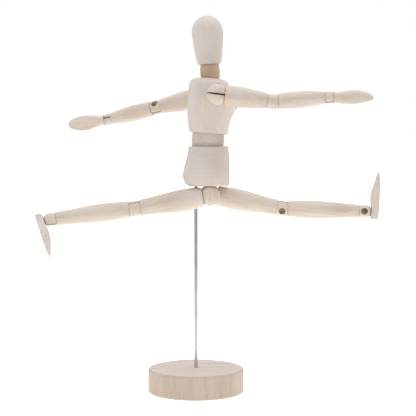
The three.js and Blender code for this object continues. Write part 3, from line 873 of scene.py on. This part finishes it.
def pelvis():
    """The hip block, with a dish and a well for the waist, two hip dishes and the rod's hole."""
    height, back, front = PELVIS["height"], PELVIS["back"], PELVIS["front"]
    rear = smooth([(0, back + 4), (height * 0.1, back + 1.3), (height * 0.27, back),
                   (height * 0.5, back + 1.3), (height * 0.75, back + 3.4), (height, back + 4.8)])
    fore = smooth([(0, front - 0.3), (height * 0.3, front), (height * 0.7, front - 0.1),
                   (height, front - 0.9)])
    flank = smooth([(0, PELVIS["hips"] - 2.4), (height * 0.12, PELVIS["hips"] - 0.6),
                    (height * 0.3, PELVIS["hips"]), (height * 0.6, PELVIS["hips"] - 1.2),
                    (height, PELVIS["waist"])])
    edge, corner = 1.2, 3.6
    levels = []
    for z in heights(0, height, edge):
        inset = rounding(z, 0, height, edge)
        levels.append((z, value_at(rear, z) + inset, value_at(fore, z) - inset,
                       value_at(flank, z) - inset, corner))
    made = block("pelvis", levels)
    waist_z = height + WAIST["rim"]
    dish = turned_ball(WAIST["band"], WAIST["rim"])["radius"] + FINE_DISH_GAP
    well = moved(dowel(WAIST["well"], -WAIST["spring_reach"] - SPRING_ROOM, 0), UPRIGHT)
    rod_hole = dowel(ROD["radius"] + ROD_GAP["pelvis"], -1, ROD["in_pelvis"] + BORE["slack"])
    cutters = [ball_cutter(dish, (WAIST["x"], 0, waist_z)),
               moved(well, shift(WAIST["x"], 0, waist_z)), moved(rod_hole, UPRIGHT)]
    for y in (-HIP["y"], HIP["y"]):
        bore = moved(dowel(BORE["spring"], -1, hip_spring_top() + BORE["slack"]), UPRIGHT)
        cutters += [ball_cutter(HIP["radius"] + FINE_DISH_GAP, (HIP["x"], y, -HIP["drop"])),
                    moved(bore, shift(HIP["x"], y, 0))]
    return worn_round(cut(made, *cutters), **BLOCK_WEAR)


def hip_spring_foot():
    """The height in the pelvis where a hip spring starts, above the ball's spigot."""
    return HIP["radius"] - HIP["drop"] + SPIGOT["length"] + SPIGOT_END_GAP


def hip_spring_top():
    """The height in the pelvis where a hip spring ends."""
    return hip_spring_foot() + HIP_SPRING_LENGTH


def chest():
    """The rib block, with dishes for the waist, the neck and both shoulders."""
    floor, top, back, front = (CHEST[k] for k in ("floor", "top", "back", "front"))
    waist, wide = CHEST["waist"], CHEST["shoulders"]
    rear = smooth([(floor, -waist), (floor + 6, back + 1.3), (floor + 13, back + 0.4),
                   (floor + 22, back), (top - 8, back), (top - 3.4, back + 0.6),
                   (top - 1, back + 2.2), (top, back + 5)])
    fore = smooth([(floor, waist), (floor + 8, waist + 0.4), (floor + 14, waist + 1.5),
                   (floor + 19, front - 2.2), (floor + 21.8, front - 0.4), (floor + 23, front),
                   (floor + 25, front - 0.4), (top - 9, front - 5.2), (top - 4, front - 8.2),
                   (top - 1.2, front - 11), (top, front - 14.5)])
    flank = smooth([(floor, waist), (floor + 18, wide - 2), (floor + 26, wide), (floor + 34, wide),
                    (floor + 40, wide - 2.4), (top - 1.5, wide - 5.4), (top, wide - 7.4)])
    edge = 0.8
    levels = []
    for z in heights(floor, top, edge, 60):
        inset = rounding(z, floor, top, edge)
        corner = 2.3 + 1.2 * min(1, (z - floor) / 16)
        levels.append((z, value_at(rear, z) + inset, value_at(fore, z) - inset,
                       value_at(flank, z) - inset, corner))
    made = block("chest", levels)
    waist_dish = turned_ball(WAIST["band"], WAIST["rim"])["radius"] + FINE_DISH_GAP
    neck_dish = turned_ball(NECK["band"], NECK["rim"])["radius"] + FINE_DISH_GAP
    bore = moved(dowel(BORE["trunk_spring"], 0, WAIST["spring_reach"] + SPRING_ROOM), UPRIGHT)
    well = moved(dowel(NECK["well"], -NECK["spring_reach"] - SPRING_ROOM, 0), UPRIGHT)
    across = moved(dowel(BORE["spring"], -SHOULDER["y"], SHOULDER["y"]), turn("Z", 90))
    cutters = [ball_cutter(waist_dish), ball_cutter(neck_dish, (NECK["x"], 0, NECK["z"])), bore,
               moved(well, shift(NECK["x"], 0, NECK["z"])), moved(across, shift(0, 0, SHOULDER["z"]))]
    for y in (-SHOULDER["y"], SHOULDER["y"]):
        cutters.append(ball_cutter(SHOULDER["radius"] + FINE_DISH_GAP, (0, y, SHOULDER["z"])))
    return worn_round(cut(made, *cutters), **BLOCK_WEAR)


def head():
    """A blank egg-shaped head along +X, measured from the centre of the neck barrel."""
    cup = turned_ball(NECK["band"], NECK["rim"])["radius"] + FINE_DISH_GAP
    chin, floor = NECK["rim"], NECK["spring_reach"] + SPRING_ROOM
    height, radius, crown = HEAD["height"], HEAD["radius"], HEAD["crown"]
    jaw = smooth([(chin, HEAD["chin"]), (chin + 2.5, HEAD["chin"] + 1.1), (chin + 12, radius - 1.4),
                  (chin + crown, radius)], 12)
    stretch = (height - crown) / radius
    dome = [(chin + crown + along * stretch, out) for along, out in arc(radius, 90, 0)]
    outer = [*jaw, *dome[1:]]
    start = math.degrees(math.asin(BORE["spring"] / cup))
    end = math.degrees(math.acos(chin / cup))
    inner = [(floor, 0), (floor, BORE["spring"]), *arc(cup, start, end)]
    return lathe("head", softened([*inner, *outer], 0.5, 40), TRUNK_SIDES)


# ---------------------------------------------------------------- assembly


def add_joint(parent, name, joint, grip=TONGUE["grip"]):
    """Places a ball, its screw and its tongue, and returns the frame of the next piece."""
    pose = POSE[name]
    side = pose["side"]
    swivel = parent @ turn("X", pose["roll"])
    fold = swivel @ turn("Y", pose["bend"])
    kind = name.split("_")[1]
    place_piece(f"{name}_ball", copy_of(("ball", kind, side), lambda: ball(joint, side)),
                swivel, "turned_maple")
    place_piece(f"{name}_screw", copy_of(("screw", kind, side), lambda: screw(joint, side)),
                swivel, "brass")
    place_piece(f"{name}_tongue", copy_of(("tongue", kind), lambda: tongue(joint, grip)),
                fold, "plate")
    return fold


def add_limb(parent, side, joints, pieces, grip=TONGUE["grip"]):
    """Places the balls and the two long pieces of a limb, and returns its last frame."""
    place = parent
    for (kind, joint), following, (label, size) in zip(joints, joints[1:], pieces):
        place = add_joint(place, f"{side}_{kind}", joint)
        far = following[1]
        made = copy_of(label, lambda: limb_piece(size, joint, far))
        place_piece(f"{side}_{label}", made, place, "turned_maple")
        place = place @ shift(size["length"], 0, 0)
    last_kind, last_joint = joints[-1]
    return add_joint(place, f"{side}_{last_kind}", last_joint, grip)


def add_arm(chest_frame, side):
    """Places an arm from its shoulder ball to its hand."""
    outward = -1 if side == "right" else 1
    socket = chest_frame @ shift(0, outward * SHOULDER["y"], SHOULDER["z"])
    socket = socket @ turn("Z", 90 * outward) @ turn("X", 90)
    wrist = add_limb(socket, side, [("shoulder", SHOULDER), ("elbow", ELBOW), ("wrist", WRIST)],
                     [("upper_arm", UPPER_ARM), ("forearm", FOREARM)])
    made = copy_of("hand", hand)
    place_piece(f"{side}_hand", made, wrist @ turn("X", POSE[f"{side}_wrist"]["turn"]),
                "turned_maple")


def add_leg(pelvis_frame, side):
    """Places a leg from its hip ball to its foot, and the spring above the hip."""
    y = -HIP["y"] if side == "right" else HIP["y"]
    socket = pelvis_frame @ shift(HIP["x"], y, -HIP["drop"]) @ turn("Y", 90)
    ankle = add_limb(socket, side, [("hip", HIP), ("knee", KNEE), ("ankle", ANKLE)],
                     [("thigh", THIGH), ("shin", SHIN)], TONGUE["foot_grip"])
    place_piece(f"{side}_foot", copy_of("foot", foot), ankle, "sawn_maple")
    middle = hip_spring_foot() + HIP_SPRING_LENGTH / 2
    place_piece(f"{side}_hip_spring", spring(LIMB_SPRING, HIP_SPRING_LENGTH),
                pelvis_frame @ shift(HIP["x"], y, middle) @ UPRIGHT, "spring")


pelvis_frame = shift(0, 0, PELVIS["bottom"])
waist_centre = shift(WAIST["x"], 0, PELVIS["height"] + WAIST["rim"])
waist_frame = pelvis_frame @ waist_centre @ turn("Y", WAIST["lean"])
chest_frame = waist_frame @ turn("Z", CHEST_TURN)
neck_frame = chest_frame @ shift(NECK["x"], 0, NECK["z"]) @ turn("Y", NECK["lean"])
head_frame = neck_frame @ turn("Z", HEAD_TURN)

place_piece("base", base(), Matrix.Identity(4), "base_wood")
place_piece("rod", rod(), Matrix.Identity(4), "chrome")
place_piece("pelvis", pelvis(), pelvis_frame, "sawn_maple")
place_piece("waist", barrel(WAIST, BORE["trunk_spring"]), waist_frame, "turned_maple")
place_piece("waist_spring", spring(TRUNK_SPRING, 2 * WAIST["spring_reach"]), waist_frame @ UPRIGHT,
            "spring")
# The chest's mesh lies along its own X, as grain does, and its frame stands it up.
chest_made = moved(chest(), UPRIGHT.inverted())
place_piece("chest", chest_made, chest_frame @ UPRIGHT, "sawn_maple")
place_piece("neck", barrel(NECK, BORE["spring"]), neck_frame, "neck_wood")
place_piece("neck_spring", spring(LIMB_SPRING, 2 * NECK["spring_reach"]), neck_frame @ UPRIGHT,
            "spring")
place_piece("head", head(), head_frame @ UPRIGHT, "head_maple")
shoulder_length = 2 * (SHOULDER["y"] - SHOULDER["radius"] - SPIGOT["length"] - SPIGOT_END_GAP)
place_piece("shoulder_spring", spring(LIMB_SPRING, shoulder_length),
            chest_frame @ shift(0, 0, SHOULDER["z"]) @ turn("Z", 90), "spring")
for limb_side in ("right", "left"):
    add_arm(chest_frame, limb_side)
    add_leg(pelvis_frame, limb_side)
for spare in meshes.values():
    bpy.data.meshes.remove(spare)

# ---------------------------------------------------------------- floor, light and camera


def stage_floor():
    """A wide pale floor just under the base, glowing warmly round it to fill in the undersides."""
    reach, sides, drop = 30000, 96, 0.05
    angles = [2 * math.pi * i / sides for i in range(sides)]
    rim = [(reach * math.cos(a), reach * math.sin(a), -drop) for a in angles]
    floor = mesh_object("floor", rim, [tuple(range(sides))])
    material, tree, shader = new_material("floor_white", Roughness=0.8, Specular_IOR_Level=0.2)
    shader.inputs["Base Color"].default_value = colour(0.85, 0.85, 0.85)
    from_middle = vector_length(tree, node(tree, "ShaderNodeTexCoord").outputs["Object"])
    pool = ramp(tree, from_middle, 0.25, 0.9, 0.55, 0.02)
    seen = node(tree, "ShaderNodeLightPath").outputs["Is Camera Ray"]
    tree.links.new(blended(tree, seen, colour(1, 0.95, 0.86), colour(1, 1, 1)),
                   shader.inputs["Emission Color"])
    glow = maths(tree, "MAXIMUM", pool, maths(tree, "MULTIPLY", seen, 0.9))
    tree.links.new(glow, shader.inputs["Emission Strength"])
    floor.data.materials.append(material)


def area_light(name, place, size, watts):
    """A square white soft box aimed at the middle of the figure."""
    data = bpy.data.lights.new(name, "AREA")
    data.size = size
    data.energy = watts
    lamp = bpy.data.objects.new(name, data)
    lamp.location = place
    aim = Vector((0, 0, 0.2)) - lamp.location
    lamp.rotation_euler = aim.to_track_quat("-Z", "Y").to_euler()
    bpy.context.scene.collection.objects.link(lamp)


def white_room():
    """A surround that looks white but lights the figure from above more than from the sides."""
    world = bpy.data.worlds.new("white_room")
    world.use_nodes = True
    tree = world.node_tree
    background = tree.nodes["Background"]
    seen = node(tree, "ShaderNodeLightPath").outputs["Is Camera Ray"]
    direction = node(tree, "ShaderNodeSeparateXYZ")
    tree.links.new(node(tree, "ShaderNodeTexCoord").outputs["Generated"], direction.inputs[0])
    sky = ramp(tree, direction.outputs["Z"], 0.1, 0.9, 0.34, 0.86)
    tree.links.new(blended(tree, seen, colour(0.95, 0.97, 1.04), colour(1, 1, 1)),
                   background.inputs["Color"])
    tree.links.new(maths(tree, "MAXIMUM", sky, seen), background.inputs["Strength"])
    bpy.context.scene.world = world


def long_lens_camera():
    """A long lens from the figure's right side, a metre away and looking slightly down."""
    data = bpy.data.cameras.new("camera")
    data.lens = 106.1
    data.sensor_width = 36
    data.clip_end = 100
    camera = bpy.data.objects.new("camera", data)
    camera.location = (0.01004, -1.017, 0.2105)
    looking_down = 3.2
    camera.rotation_euler = (math.radians(90 - looking_down), 0, 0)
    bpy.context.scene.collection.objects.link(camera)
    bpy.context.scene.camera = camera


stage_floor()
white_room()
long_lens_camera()
area_light("overhead", (0.1, 0.0, 1.3), 1.0, 5)
area_light("back_left", (-1.1, 0.7, 0.7), 0.9, 3)
area_light("back_right", (1.1, 0.7, 0.7), 0.9, 3)
area_light("front", (-0.4, -1.3, 0.9), 0.8, 1)
bpy.context.scene.view_settings.view_transform = "Standard"
